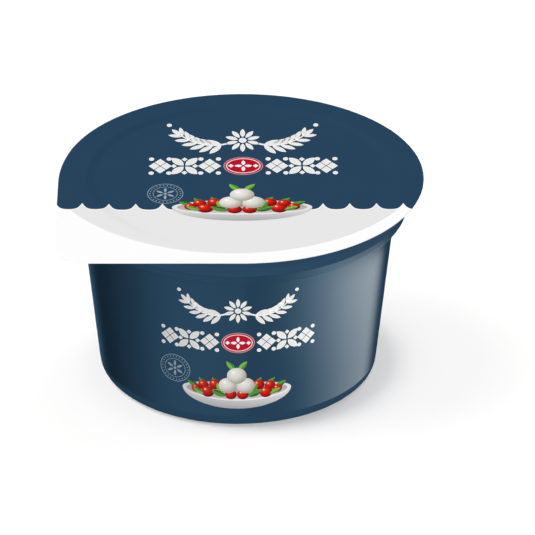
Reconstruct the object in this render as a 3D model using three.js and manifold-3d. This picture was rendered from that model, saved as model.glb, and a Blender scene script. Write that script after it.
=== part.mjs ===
// A sealed round cheese tub with a peel-off foil lid. Millimetres, +Z up, front towards -Y.
// The origin lies on the surface the tub stands on, under the middle of the lid's bounding square.
// The tub is shut and opaque, so it is one solid with its contents.

import * as THREE from 'three';
import { mergeVertices } from 'three/addons/utils/BufferGeometryUtils.js';
import Module from 'manifold-3d';

const wasm = await Module();
wasm.setup();

// ---- Driving dimensions ----

const SIDES_PER_TURN = 96;

const TOTAL_HEIGHT = 66.8;
const PIECE_GAP = 0.3;

// Foil lid: a disc whose front left corner is cut out square as the pull tab.
const FOIL_THICKNESS = 0.4;
const LID_RADIUS = 58;
const TAB_EDGE_X = 58.6;            // the tab's left edge, from the lid's centre
const TAB_CORNER_RADIUS = 10;
const TAB_FLARE_ANGLE = 163;        // degrees from +X where the disc's edge starts to flare into the tab
const SEAL_OFFSET = 1.3;            // the foil is sealed this far to the right of the tub's axis

// The shallow pan pressed into the foil.
const PAN_RADIUS = 47.6;
const PAN_DEPTH = 0.8;
const PAN_SLOPE = 1.2;              // how far the pan's wall runs inwards on its way down

// Tub: sealing flange, neck, stacking ledge, tapered wall, rounded heel and foot ring.
const FLANGE_RADIUS = 56.5;
const FLANGE_THICKNESS = 1.4;
const FLANGE_EDGE_RADIUS = 0.5;
const NECK_TOP_RADIUS = 54.3;
const NECK_ROOT_FILLET = 0.6;
const NECK_FOOT_RADIUS = 53.9;
const NECK_FOOT_Z = 57.2;
const NECK_EDGE_RADIUS = 0.4;
const LEDGE_DROP = 0.7;             // the ledge slopes down this much from the neck to the wall
const WALL_TOP_RADIUS = 50.5;
const LEDGE_FILLET = 0.8;
const WALL_FOOT_RADIUS = 44.6;      // where the wall's line would meet the floor
const HEEL_RADIUS = 3;
const FOOT_RING_WIDTH = 3.2;
const BASE_RECESS_DEPTH = 1.2;
const BASE_RECESS_SLOPE = 1;

// ---- Derived sizes ----

const LID_X = (TAB_EDGE_X - LID_RADIUS) / 2;
const TUB_X = LID_X - SEAL_OFFSET;
const FOIL_BOTTOM_Z = TOTAL_HEIGHT - FOIL_THICKNESS;
const FLANGE_TOP_Z = FOIL_BOTTOM_Z - PIECE_GAP;
const FLANGE_BOTTOM_Z = FLANGE_TOP_Z - FLANGE_THICKNESS;

const TURN = 2 * Math.PI;
const RIGHT_ANGLE = Math.PI / 2;

// ---- Materials ----

function tubMaterial() {
  return new THREE.MeshStandardMaterial({
    name: 'tub_plastic',
    color: 0x26445a,
    roughness: 0.38,
    metalness: 0,
  });
}

function foilMaterial() {
  return new THREE.MeshStandardMaterial({
    name: 'lid_foil',
    color: 0xf4f4f3,
    roughness: 0.45,
    metalness: 0.1,
  });
}

// ---- Outlines ----

// Points along an arc about (x, y), from one angle to the other, both ends included.
function arcPoints(x, y, radius, fromAngle, toAngle, steps) {
  const points = [];
  for (let i = 0; i <= steps; i += 1) {
    const angle = fromAngle + (toAngle - fromAngle) * (i / steps);
    points.push(new THREE.Vector2(x + radius * Math.cos(angle), y + radius * Math.sin(angle)));
  }
  return points;
}

// Rounds the corner b of the path a-b-c by an arc of that radius, tangent to both legs.
function roundedCorner(a, b, c, radius, steps) {
  const back = a.clone().sub(b).normalize();
  const ahead = c.clone().sub(b).normalize();
  const halfAngle = Math.acos(back.dot(ahead)) / 2;
  const bisector = back.clone().add(ahead).normalize();
  const centre = b.clone().addScaledVector(bisector, radius / Math.sin(halfAngle));
  const leg = radius / Math.tan(halfAngle);
  const start = b.clone().addScaledVector(back, leg).sub(centre);
  const end = b.clone().addScaledVector(ahead, leg).sub(centre);
  const sweep = Math.atan2(start.cross(end), start.dot(end));
  return arcPoints(centre.x, centre.y, radius, start.angle(), start.angle() + sweep, steps);
}

// The tub's half section as (radius, height), from the middle of its base to the middle of its top.
function tubProfile() {
  const baseMiddle = new THREE.Vector2(0, BASE_RECESS_DEPTH);
  const heel = new THREE.Vector2(WALL_FOOT_RADIUS, 0);
  const wallTop = new THREE.Vector2(WALL_TOP_RADIUS, NECK_FOOT_Z - LEDGE_DROP);
  const neckFoot = new THREE.Vector2(NECK_FOOT_RADIUS, NECK_FOOT_Z);
  const neckTop = new THREE.Vector2(NECK_TOP_RADIUS, FLANGE_BOTTOM_Z);
  const flangeUnder = new THREE.Vector2(FLANGE_RADIUS, FLANGE_BOTTOM_Z);
  const flangeTop = new THREE.Vector2(FLANGE_RADIUS, FLANGE_TOP_Z);
  const topMiddle = new THREE.Vector2(0, FLANGE_TOP_Z - PAN_DEPTH);

  const heelCorner = roundedCorner(new THREE.Vector2(0, 0), heel, wallTop, HEEL_RADIUS, 7);
  const footRingInner = heelCorner[0].x - FOOT_RING_WIDTH;

  return [
    baseMiddle,
    new THREE.Vector2(footRingInner - BASE_RECESS_SLOPE, BASE_RECESS_DEPTH),
    new THREE.Vector2(footRingInner, 0),
    ...heelCorner,
    ...roundedCorner(heel, wallTop, neckFoot, LEDGE_FILLET, 3),
    ...roundedCorner(wallTop, neckFoot, neckTop, NECK_EDGE_RADIUS, 3),
    ...roundedCorner(neckFoot, neckTop, flangeUnder, NECK_ROOT_FILLET, 3),
    ...roundedCorner(neckTop, flangeUnder, flangeTop, FLANGE_EDGE_RADIUS, 2),
    ...roundedCorner(flangeUnder, flangeTop, topMiddle.clone().setY(FLANGE_TOP_Z), FLANGE_EDGE_RADIUS, 2),
    new THREE.Vector2(PAN_RADIUS, FLANGE_TOP_Z),
    new THREE.Vector2(PAN_RADIUS - PAN_SLOPE, topMiddle.y),
    topMiddle,
  ];
}

// The foil's outline about the lid's centre, anticlockwise from its front edge's right end.
// An arc wider than the disc eases the disc's left side into the tab's straight left edge.
function lidOutline() {
  const flareStart = THREE.MathUtils.degToRad(TAB_FLARE_ANGLE);
  const flareCos = Math.cos(flareStart);
  const flareRadius = (TAB_EDGE_X + LID_RADIUS * flareCos) / (1 + flareCos);
  const flareShift = LID_RADIUS - flareRadius;
  const flareX = flareShift * flareCos;
  const flareY = flareShift * Math.sin(flareStart);
  const discSteps = Math.round((SIDES_PER_TURN * (flareStart + RIGHT_ANGLE)) / TURN);
  const cornerX = -TAB_EDGE_X + TAB_CORNER_RADIUS;
  const cornerY = -LID_RADIUS + TAB_CORNER_RADIUS;
  return [
    ...arcPoints(0, 0, LID_RADIUS, -RIGHT_ANGLE, flareStart, discSteps),
    ...arcPoints(flareX, flareY, flareRadius, flareStart, Math.PI, 6).slice(1),
    ...arcPoints(cornerX, cornerY, TAB_CORNER_RADIUS, Math.PI, Math.PI + RIGHT_ANGLE, 10),
  ];
}

// ---- Solids ----

// A half section turned about +Z.
function turned(profile) {
  return new THREE.LatheGeometry(profile, SIDES_PER_TURN).rotateX(RIGHT_ANGLE);
}

// A closed geometry as a manifold solid: vertices welded by place, and the empty faces at the axis dropped.
function toSolid(geometry) {
  const bare = geometry.clone();
  bare.deleteAttribute('normal');
  bare.deleteAttribute('uv');
  const welded = mergeVertices(bare.index ? bare.toNonIndexed() : bare);
  const corners = welded.index.array;
  const kept = [];
  for (let i = 0; i < corners.length; i += 3) {
    const [a, b, c] = [corners[i], corners[i + 1], corners[i + 2]];
    if (a !== b && b !== c && c !== a) {
      kept.push(a, b, c);
    }
  }
  const mesh = new wasm.Mesh({
    numProp: 3,
    vertProperties: welded.attributes.position.array,
    triVerts: new Uint32Array(kept),
  });
  return new wasm.Manifold(mesh);
}

function toGeometry(solid) {
  const { vertProperties, triVerts } = solid.getMesh();
  const geometry = new THREE.BufferGeometry();
  geometry.setAttribute('position', new THREE.BufferAttribute(vertProperties, 3));
  geometry.setIndex(new THREE.BufferAttribute(triVerts, 1));
  geometry.computeVertexNormals();
  return geometry;
}

// A shallow round dish in the lid's frame, about the tub's axis, whose wall slopes inwards on its way down.
function dish(topRadius, topZ, bottomZ) {
  const profile = [
    new THREE.Vector2(0, bottomZ),
    new THREE.Vector2(topRadius - PAN_SLOPE, bottomZ),
    new THREE.Vector2(topRadius, topZ),
    new THREE.Vector2(0, topZ),
  ];
  return toSolid(turned(profile).translate(-SEAL_OFFSET, 0, 0));
}

function flatFoil() {
  const shape = new THREE.Shape(lidOutline());
  const sheet = new THREE.ExtrudeGeometry(shape, { depth: FOIL_THICKNESS, bevelEnabled: false });
  return toSolid(sheet.translate(0, 0, FOIL_BOTTOM_Z));
}

// ---- Sub-parts ----

function makeTub() {
  const tub = new THREE.Mesh(turned(tubProfile()), tubMaterial());
  tub.name = 'tub';
  tub.position.x = TUB_X;
  return tub;
}

function makeFoilLid() {
  const panUnderside = dish(PAN_RADIUS, FOIL_BOTTOM_Z, FOIL_BOTTOM_Z - PAN_DEPTH);
  const panHollow = dish(PAN_RADIUS, TOTAL_HEIGHT, TOTAL_HEIGHT - PAN_DEPTH);
  const pressed = flatFoil().add(panUnderside).subtract(panHollow);
  const lid = new THREE.Mesh(toGeometry(pressed), foilMaterial());
  lid.name = 'foil_lid';
  lid.position.x = LID_X;
  return lid;
}

const sealedTub = new THREE.Group();
sealedTub.add(makeTub(), makeFoilLid());

export default sealedTub;
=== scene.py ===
"""Looks of a sealed cheese tub: the shell, the foil lid, the print on both, and a plain studio.

Unless a docstring says otherwise, sizes and places are given in real millimetres and angles in degrees.
Points and meshes are in metres.
"""

import logging
import math
from abc import ABC, abstractmethod
from contextlib import contextmanager
from dataclasses import dataclass, field
from enum import Enum
from typing import Callable, Iterator, Sequence, Union

import bmesh
import bpy
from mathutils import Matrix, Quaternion, Vector


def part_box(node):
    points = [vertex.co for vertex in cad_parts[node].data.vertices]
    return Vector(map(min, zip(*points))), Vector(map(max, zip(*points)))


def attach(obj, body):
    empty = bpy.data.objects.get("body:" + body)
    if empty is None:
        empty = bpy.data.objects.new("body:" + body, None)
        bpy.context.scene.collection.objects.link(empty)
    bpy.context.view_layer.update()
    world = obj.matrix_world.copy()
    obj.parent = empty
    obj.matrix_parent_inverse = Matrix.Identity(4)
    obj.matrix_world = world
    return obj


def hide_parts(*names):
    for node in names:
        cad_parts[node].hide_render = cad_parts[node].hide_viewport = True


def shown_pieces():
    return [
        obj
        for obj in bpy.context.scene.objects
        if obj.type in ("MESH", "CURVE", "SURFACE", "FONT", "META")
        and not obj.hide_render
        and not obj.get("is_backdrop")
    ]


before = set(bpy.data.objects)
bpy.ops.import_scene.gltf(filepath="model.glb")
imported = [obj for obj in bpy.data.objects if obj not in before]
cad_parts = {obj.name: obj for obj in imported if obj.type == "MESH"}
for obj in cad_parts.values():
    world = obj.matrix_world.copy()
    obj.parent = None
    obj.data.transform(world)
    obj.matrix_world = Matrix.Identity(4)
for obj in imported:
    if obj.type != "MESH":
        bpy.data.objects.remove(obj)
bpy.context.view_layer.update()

logging.basicConfig(level=logging.INFO, format="%(message)s")
log = logging.getLogger("tub")

MM = 0.001
TURN = 2 * math.pi
BODY = "root"

DOUBLES = 0.002 * MM  # vertices that are closer than this become one
LONG_EDGE = 3 * MM  # a half section's edge that is longer than this is braced
BRACE = 0.25 * MM  # how far from such an edge's ends the added points lie
SHARP = 32  # an edge sharper than this isn't shaded smooth
FILM_SHARP = 40  # the same in a film of ink
FEWEST_SIDES = 16
MOST_SIDES = 72
RING_SIDES = 40
INK_ROUGHNESS = 0.3
INK_SPECULAR = 0.2

Colour = tuple[float, float, float, float]
Pair = tuple[float, float]
Stops = tuple[Pair, ...]
Socket = bpy.types.NodeSocket
Value = Union[float, Socket]
Material = bpy.types.Material
Piece = bpy.types.Object

BLACK: Colour = (0, 0, 0, 1)


def shade(red: float, green: float, blue: float) -> Colour:
    """Turns a colour as seen on a screen, 0 to 255, into the linear one that shaders read.

    Args:
        red: Red on the screen.
        green: Green on the screen.
        blue: Blue on the screen.

    Returns:
        The linear colour, opaque.
    """

    def linear(level: float) -> float:
        """Undoes the screen's curve for one channel."""
        part = level / 255
        return part / 12.92 if part <= 0.04045 else ((part + 0.055) / 1.055) ** 2.4

    return (linear(red), linear(green), linear(blue), 1.0)


# ---- Bench: selecting, editing and finishing a piece ----


def select_only(*pieces: Piece) -> None:
    """Selects these pieces and nothing else, in object mode.

    Args:
        *pieces: The pieces. The first one becomes the active one.
    """
    if bpy.context.mode != "OBJECT":
        bpy.ops.object.mode_set(mode="OBJECT")
    bpy.ops.object.select_all(action="DESELECT")
    for piece in pieces:
        piece.select_set(True)
    bpy.context.view_layer.objects.active = pieces[0]


@contextmanager
def editing(piece: Piece, element: str = "VERT") -> Iterator[None]:
    """Opens a piece in edit mode with all of it selected, and closes it again.

    Args:
        piece: The mesh to edit.
        element: What is selected by: VERT, EDGE or FACE.
    """
    select_only(piece)
    bpy.ops.object.mode_set(mode="EDIT")
    bpy.ops.mesh.select_mode(type=element)
    bpy.ops.mesh.select_all(action="SELECT")
    yield
    bpy.ops.object.mode_set(mode="OBJECT")


def pick_verts(piece: Piece, test: Callable[[Vector], bool]) -> None:
    """Selects vertices by their place, and only those.

    Args:
        piece: The mesh, in edit mode.
        test: Says of a place whether its vertex is selected.
    """
    mesh = bmesh.from_edit_mesh(piece.data)
    for vert in mesh.verts:
        vert.select_set(test(vert.co))
    mesh.select_flush(True)
    bmesh.update_edit_mesh(piece.data)


def pick_faces(piece: Piece, test: Callable[[bmesh.types.BMFace], bool]) -> None:
    """Selects faces, and only those.

    Args:
        piece: The mesh, in edit mode.
        test: Says of a face whether it is selected.
    """
    mesh = bmesh.from_edit_mesh(piece.data)
    for face in mesh.faces:
        face.select_set(test(face))
    bmesh.update_edit_mesh(piece.data)


def settle(piece: Piece) -> None:
    """Moves a piece's place, turn and scale into its mesh."""
    select_only(piece)
    bpy.ops.object.transform_apply(location=True, rotation=True, scale=True)


def new_piece(name: str) -> Piece:
    """Names the primitive that was just added, and settles it.

    Args:
        name: The new piece's name.

    Returns:
        The piece.
    """
    piece = bpy.context.object
    piece.name = name
    settle(piece)
    return piece


def joined(name: str, pieces: Sequence[Piece]) -> Piece:
    """Joins pieces into one mesh.

    Args:
        name: The joined piece's name.
        pieces: What it is made of.

    Returns:
        The joined piece.
    """
    select_only(*pieces)
    if len(pieces) > 1:
        bpy.ops.object.join()
    pieces[0].name = name
    return pieces[0]


def finish_with(piece: Piece, kind: str, **settings: object) -> None:
    """Adds a modifier, sets it and applies it.

    Args:
        piece: The mesh to finish.
        kind: The modifier's type.
        **settings: The modifier's own values.
    """
    select_only(piece)
    bpy.ops.object.modifier_add(type=kind)
    modifier = piece.modifiers[-1]
    for name, value in settings.items():
        setattr(modifier, name, value)
    bpy.ops.object.modifier_apply(modifier=modifier.name)


def smooth(piece: Piece, angle: float) -> None:
    """Shades a piece smooth, but for edges sharper than the angle."""
    select_only(piece)
    bpy.ops.object.shade_smooth_by_angle(angle=math.radians(angle))


def report(piece: Piece) -> None:
    """Reports a finished piece."""
    log.info("%s: %d faces", piece.name, len(piece.data.polygons))


def single_vertex(name: str, place: Vector) -> Piece:
    """Starts a piece that is drawn point by point: a small plane, merged into one vertex.

    Args:
        name: The new piece's name.
        place: Where its vertex lies.

    Returns:
        The piece.
    """
    bpy.ops.mesh.primitive_plane_add(size=MM, location=place)
    piece = new_piece(name)
    with editing(piece):
        bpy.ops.mesh.merge(type="CENTER")
    return piece


def draw_on(points: Sequence[Vector]) -> None:
    """In edit mode, extrudes the selected vertex along a line.

    Args:
        points: The vertex's own place, and then every place that the line runs through.
    """
    for here, there in zip(points, points[1:]):
        step = there - here
        bpy.ops.mesh.extrude_vertices_move(TRANSFORM_OT_translate={"value": tuple(step)})


def turned(name: str, profile: Sequence[Vector], axis_x: float, steps: int, sweep: float = TURN) -> Piece:
    """Draws a half section and spins it into a round body.

    Args:
        name: The new piece's name.
        profile: Points as (radius, 0, height).
        axis_x: Where the upright axis stands along X, in metres.
        steps: How many steps make the sweep.
        sweep: How far round the section is spun, from +X on, in radians.

    Returns:
        The round body, with doubles merged and faces pointing outwards.
    """
    points = [Vector((axis_x, 0, 0)) + point for point in profile]
    piece = single_vertex(name, points[0])
    with editing(piece):
        draw_on(points)
        bpy.ops.mesh.select_all(action="SELECT")
        bpy.ops.mesh.spin(steps=steps, angle=sweep, center=(axis_x, 0, 0), axis=(0, 0, 1))
        bpy.ops.mesh.select_all(action="SELECT")
        bpy.ops.mesh.remove_doubles(threshold=DOUBLES)
        bpy.ops.mesh.normals_make_consistent(inside=False)
    return piece


def rounded(before: Vector, corner: Vector, after: Vector, radius: float, steps: int) -> list[Vector]:
    """Rounds the corner of a half section by an arc that touches both of its legs.

    Args:
        before: The point before the corner.
        corner: The sharp corner.
        after: The point after the corner.
        radius: The arc's radius in millimetres.
        steps: How many edges make the arc.

    Returns:
        The arc's points, both ends included.
    """
    radius *= MM
    back = (before - corner).normalized()
    ahead = (after - corner).normalized()
    half = back.angle(ahead) / 2
    centre = corner + (back + ahead).normalized() * (radius / math.sin(half))
    start = corner + back * (radius / math.tan(half)) - centre
    end = corner + ahead * (radius / math.tan(half)) - centre
    sweep = start.angle(end)
    points = []
    for step in range(steps + 1):
        part = step / steps
        weight = math.sin((1 - part) * sweep), math.sin(part * sweep)
        points.append(centre + (start * weight[0] + end * weight[1]) / math.sin(sweep))
    return points


def braced(profile: Sequence[Vector]) -> list[Vector]:
    """Adds a point near both ends of every long edge, so that flat stretches stay flat when shaded smooth.

    Args:
        profile: A half section's points.

    Returns:
        The half section with the added points.
    """
    points = [profile[0]]
    for here, there in zip(profile, profile[1:]):
        step = there - here
        if step.length > LONG_EDGE:
            points.append(here + step.normalized() * BRACE)
            points.append(there - step.normalized() * BRACE)
        points.append(there)
    return points


def at(radius: float, height: float) -> Vector:
    """A point of a half section, given in millimetres."""
    return Vector((radius * MM, 0, height * MM))


# ---- Recipes: procedural materials and lights ----


class NodeBench:
    """A node tree that is put together step by step."""

    def __init__(self, tree: bpy.types.NodeTree) -> None:
        """Takes the tree to work on."""
        self.nodes = tree.nodes
        self.links = tree.links

    def feed(self, socket: Socket, value: object) -> None:
        """Links a socket to another one, or sets its value.

        Args:
            socket: The input socket.
            value: What goes into it, as a socket, a number or a colour.
        """
        if isinstance(value, Socket):
            self.links.new(value, socket)
        else:
            socket.default_value = value

    def calc(self, operation: str, *inputs: Value, clamp: bool = False) -> Socket:
        """One step of arithmetic.

        Args:
            operation: The Math node's operation.
            *inputs: Its inputs, as numbers or sockets.
            clamp: Whether the result is kept from 0 to 1.

        Returns:
            The result's socket.
        """
        node = self.nodes.new("ShaderNodeMath")
        node.operation = operation
        node.use_clamp = clamp
        for socket, value in zip(node.inputs, inputs):
            self.feed(socket, value)
        return node.outputs[0]

    def mix(self, part: Value, first: object, second: object, how: str = "MIX") -> Socket:
        """Mixes two colours.

        Args:
            part: How much of the second one goes in, from 0 to 1.
            first: The first colour, as a socket or a colour.
            second: The second colour, as a socket or a colour.
            how: The Mix node's way of blending them.

        Returns:
            The mixed colour's socket.
        """
        node = self.nodes.new("ShaderNodeMix")
        node.data_type = "RGBA"
        node.blend_type = how
        self.feed(node.inputs[0], part)
        self.feed(node.inputs[6], first)
        self.feed(node.inputs[7], second)
        return node.outputs[2]

    def place(self, source: str = "Object") -> tuple[Socket, ...]:
        """Reads texture coordinates.

        Args:
            source: Which coordinates: the Texture Coordinate node's output.

        Returns:
            The whole vector's socket, and those of its X, Y and Z.
        """
        coordinates = self.nodes.new("ShaderNodeTexCoord")
        parts = self.nodes.new("ShaderNodeSeparateXYZ")
        self.links.new(coordinates.outputs[source], parts.inputs[0])
        return (coordinates.outputs[source], *parts.outputs)

    def smooth_step(self, value: Value, low: float, high: float) -> Socket:
        """Steps up smoothly.

        Args:
            value: What is read.
            low: Where the step starts, at 0.
            high: Where it ends, at 1.

        Returns:
            The step's socket.
        """
        node = self.nodes.new("ShaderNodeMapRange")
        node.interpolation_type = "SMOOTHSTEP"
        self.feed(node.inputs["Value"], value)
        node.inputs["From Min"].default_value = low
        node.inputs["From Max"].default_value = high
        return node.outputs["Result"]

    def curve(self, value: Value, stops: Stops, span: Pair, full: float) -> Socket:
        """Reads a level from a list of stops, straight between them.

        Args:
            value: What the stops are places on.
            stops: Place and level of each stop, by rising place.
            span: The lowest and the highest place.
            full: The level that comes out as 1.

        Returns:
            The level's socket.
        """
        low, high = span
        reach = high - low
        part = self.calc("MULTIPLY_ADD", value, 1 / reach, -low / reach)
        node = self.nodes.new("ShaderNodeValToRGB")
        self.links.new(part, node.inputs[0])
        elements = node.color_ramp.elements
        elements.remove(elements[-1])
        for index, (spot, level) in enumerate(stops):
            element = elements[0] if index == 0 else elements.new(1.0)
            element.position = (spot - low) / reach
            element.color = (level / full, level / full, level / full, 1.0)
        return node.outputs[0]

    def heading(self, x: Value, y: Value) -> Socket:
        """The compass heading of a place, -180 to 180, with 0 at +X."""
        return self.calc("MULTIPLY", self.calc("ARCTAN2", y, x), 360 / TURN)

    def distance(self, x: Value, y: Value, to_x: float, to_y: float) -> Socket:
        """How far a flat place is from a point.

        Args:
            x: The place's X.
            y: The place's Y.
            to_x: The point's X.
            to_y: The point's Y.

        Returns:
            The distance's socket.
        """
        dx = self.calc("SUBTRACT", x, to_x)
        dy = self.calc("SUBTRACT", y, to_y)
        squares = self.calc("ADD", self.calc("MULTIPLY", dx, dx), self.calc("MULTIPLY", dy, dy))
        return self.calc("SQRT", squares)

    def spread(self, value: Value, low: float, high: float) -> Socket:
        """Stretches a value from 0 to 1 to the range from low to high."""
        return self.calc("MULTIPLY_ADD", value, high - low, low)

    def around(self, value: Value, middle: float, reach: float) -> Socket:
        """Stretches a value from 0 to 1 to the range that reaches that far to both sides of the middle."""
        return self.spread(value, middle - reach, middle + reach)

    def above(self, value: Value, limit: Value, softness: float) -> Socket:
        """Is 1 where the value is above the limit and 0 below, with a soft step of that width."""
        over = self.calc("SUBTRACT", value, limit)
        return self.calc("MULTIPLY_ADD", over, 1 / softness, 0.5, clamp=True)


class Recipe(NodeBench):
    """A material's nodes, round one Principled shader."""

    def __init__(self, name: str) -> None:
        """Starts the material.

        Args:
            name: The material's name.
        """
        self.material = bpy.data.materials.new(name)
        self.material.use_nodes = True
        super().__init__(self.material.node_tree)
        self.shader = self.nodes["Principled BSDF"]

    def set(self, **sockets: object) -> Material:
        """Sets or links the shader's sockets.

        Args:
            **sockets: What goes into each socket, whose name is written with _ for spaces.

        Returns:
            The material.
        """
        for name, value in sockets.items():
            self.feed(self.shader.inputs[name.replace("_", " ")], value)
        return self.material

    def even_ink(self, colour: Socket) -> Material:
        """Dresses the shader as evenly glossy ink of that colour, and gives the material."""
        return self.set(Base_Color=colour, Roughness=INK_ROUGHNESS, Specular_IOR_Level=INK_SPECULAR)

    def grain(self, where: Socket, size: float, detail: float = 2) -> Socket:
        """Soft noise from 0 to 1.

        Args:
            where: The place that it is read at.
            size: The lumps' size in millimetres.
            detail: How many finer layers it has.

        Returns:
            The noise's socket.
        """
        node = self.nodes.new("ShaderNodeTexNoise")
        self.links.new(where, node.inputs["Vector"])
        node.inputs["Scale"].default_value = 1 / (size * MM)
        node.inputs["Detail"].default_value = detail
        return node.outputs["Fac"]

    def relief(self, height: Socket, depth: float) -> Socket:
        """Bumps the surface.

        Args:
            height: The bumps' height, from 0 to 1.
            depth: How deep they are in millimetres.

        Returns:
            The bumped normal's socket.
        """
        node = self.nodes.new("ShaderNodeBump")
        node.inputs["Distance"].default_value = depth * MM
        self.links.new(height, node.inputs["Height"])
        return node.outputs["Normal"]


@dataclass(frozen=True)
class LabelGloss:
    """The tub's printed wall: dark blue under a smooth gloss, with a trace of orange peel."""

    blue: Colour = shade(37, 65.5, 88)
    deep: Colour = shade(35.5, 63.5, 85.5)
    roughness: float = 0.17
    unevenness: float = 0.02
    cloud_size: float = 18
    peel_size: float = 1.4
    peel_depth: float = 0.004

    def make(self) -> Material:
        """Builds the material.

        Returns:
            The material.
        """
        recipe = Recipe("label_gloss")
        where = recipe.place()[0]
        cloud = recipe.grain(where, self.cloud_size)
        peel = recipe.grain(where, self.peel_size)
        return recipe.set(
            Base_Color=recipe.mix(cloud, self.deep, self.blue),
            Roughness=recipe.around(cloud, self.roughness, self.unevenness),
            Specular_IOR_Level=0.5,
            Normal=recipe.relief(peel, self.peel_depth),
        )


@dataclass(frozen=True)
class BarePlastic:
    """The tub's unprinted plastic: a lighter blue than the label, and matte.

    Its colour is darker down at the heel and lighter up at the neck: painted shade at the heel and painted
    light at the neck.
    """

    light: Colour = shade(42, 73, 97)
    deep: Colour = shade(40, 70, 94)
    # painted shade: the darker blue that the colour fades to at the heel
    heel: Colour = shade(36, 64, 86)
    painted_shade_z: float = 4
    painted_light_z: float = 56
    roughness: float = 0.6
    unevenness: float = 0.04
    cloud_size: float = 9
    texture_size: float = 0.5
    texture_depth: float = 0.006

    def make(self) -> Material:
        """Builds the material.

        Returns:
            The material.
        """
        recipe = Recipe("bare_plastic")
        where, _, _, z = recipe.place()
        cloud = recipe.grain(where, self.cloud_size)
        texture = recipe.grain(where, self.texture_size, detail=4)
        upper = recipe.mix(cloud, self.deep, self.light)
        # painted shade and light: the colour darkens towards the heel and lightens towards the neck
        rise = recipe.smooth_step(z, self.painted_shade_z * MM, self.painted_light_z * MM)
        return recipe.set(
            Base_Color=recipe.mix(rise, self.heel, upper),
            Roughness=recipe.around(cloud, self.roughness, self.unevenness),
            Specular_IOR_Level=0.02,
            Normal=recipe.relief(texture, self.texture_depth),
        )


@dataclass(frozen=True)
class FoilPrint:
    """The foil's lacquered top, coloured in three fields, of which the blue one is print.

    It is blue behind a scalloped edge, pale grey in front of it out to a wide arc, and white beyond.
    Places are measured from the lid's centre, which lies at lid_x metres. The flank is the part of a
    half lobe that rises to the crest.
    """

    lid_x: float
    crest_x: float = 0.2
    crest_y: float = -18.4
    pitch: float = 8.46
    scallop_depth: float = 4.1
    flank: float = 0.27
    flank_bend: float = 1.2
    outline: float = 0.55
    blur: float = 0.12
    arc_x: float = -2.7
    arc_y: float = 9.2
    arc_radius: float = 60.8
    blue: Colour = shade(38, 67.5, 92)
    blue_deep: Colour = shade(37, 66, 90)
    white: Colour = shade(247, 247, 247)
    grey: Colour = shade(226, 226, 226)
    low_roughness: float = 0.42
    high_roughness: float = 0.5
    cloud_size: float = 14
    crinkle_size: float = 6
    crinkle_depth: float = 0.02

    def make(self) -> Material:
        """Builds the material.

        Returns:
            The material.
        """
        recipe = Recipe("foil_print")
        where, x, y, _ = recipe.place()
        across = recipe.calc("MULTIPLY_ADD", x, 1 / MM, -self.lid_x / MM)
        up = recipe.calc("DIVIDE", y, MM)
        edge = self.scalloped_edge(recipe, across)
        line = recipe.above(up, recipe.calc("SUBTRACT", edge, self.outline), self.blur)
        off_arc = recipe.distance(across, up, self.arc_x, self.arc_y)
        in_arc = recipe.above(self.arc_radius, off_arc, self.blur)
        in_grey = recipe.calc("MULTIPLY", in_arc, recipe.calc("SUBTRACT", 1.0, line))
        front = recipe.mix(in_grey, self.white, self.grey)
        cloud = recipe.grain(where, self.cloud_size)
        back = recipe.mix(cloud, self.blue_deep, self.blue)
        crinkle = recipe.grain(where, self.crinkle_size, detail=3)
        return recipe.set(
            Base_Color=recipe.mix(recipe.above(up, edge, self.blur), front, back),
            Roughness=recipe.spread(cloud, self.low_roughness, self.high_roughness),
            Specular_IOR_Level=0.2,
            Normal=recipe.relief(crinkle, self.crinkle_depth),
        )

    def scalloped_edge(self, recipe: Recipe, across: Value) -> Socket:
        """The blue field's lower edge: flat lobes that meet in rounded crests.

        Args:
            recipe: The material's nodes.
            across: The place's distance to the right of the lid's centre.

        Returns:
            The edge's height there.
        """
        phase = recipe.calc("DIVIDE", recipe.calc("SUBTRACT", across, self.crest_x), self.pitch)
        from_lobe = recipe.calc("SUBTRACT", recipe.calc("FRACT", phase), 0.5)
        aside = recipe.calc("ABSOLUTE", from_lobe)
        off_crest = recipe.calc("MULTIPLY_ADD", aside, -2 / self.flank, 1 / self.flank)
        fall = recipe.calc("POWER", recipe.calc("MAXIMUM", off_crest, 0.0), self.flank_bend)
        crest = recipe.calc("POWER", math.e, recipe.calc("MULTIPLY", fall, -1.0))
        return recipe.calc("MULTIPLY_ADD", crest, self.scallop_depth, self.crest_y - self.scallop_depth)


@dataclass(frozen=True)
class FoilBack:
    """The foil's bare underside: aluminium with the fine streaks of its rolling."""

    light: Colour = shade(222, 223, 226)
    dark: Colour = shade(205, 207, 210)
    low_roughness: float = 0.34
    high_roughness: float = 0.5
    streak_size: float = 4
    streaks_across: float = 24
    streak_depth: float = 0.004

    def make(self) -> Material:
        """Builds the material.

        Returns:
            The material.
        """
        recipe = Recipe("foil_back")
        stretch = recipe.nodes.new("ShaderNodeMapping")
        stretch.inputs["Scale"].default_value = (1, self.streaks_across, 1)
        recipe.links.new(recipe.place()[0], stretch.inputs["Vector"])
        rolling = recipe.grain(stretch.outputs[0], self.streak_size, detail=4)
        return recipe.set(
            Base_Color=recipe.mix(rolling, self.dark, self.light),
            Metallic=1.0,
            Roughness=recipe.spread(rolling, self.low_roughness, self.high_roughness),
            Normal=recipe.relief(rolling, self.streak_depth),
        )


@dataclass(frozen=True)
class FlatInk:
    """A layer of one ink, slightly uneven as print is."""

    name: str
    colour: Colour
    deeper: Colour
    unevenness: float = 0.04
    mottle_size: float = 0.8

    def make(self) -> Material:
        """Builds the material.

        Returns:
            The material.
        """
        recipe = Recipe(self.name)
        mottle = recipe.grain(recipe.place()[0], self.mottle_size, detail=3)
        return recipe.set(
            Base_Color=recipe.mix(mottle, self.deeper, self.colour),
            Roughness=recipe.around(mottle, INK_ROUGHNESS, self.unevenness),
            Specular_IOR_Level=INK_SPECULAR,
        )


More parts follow.
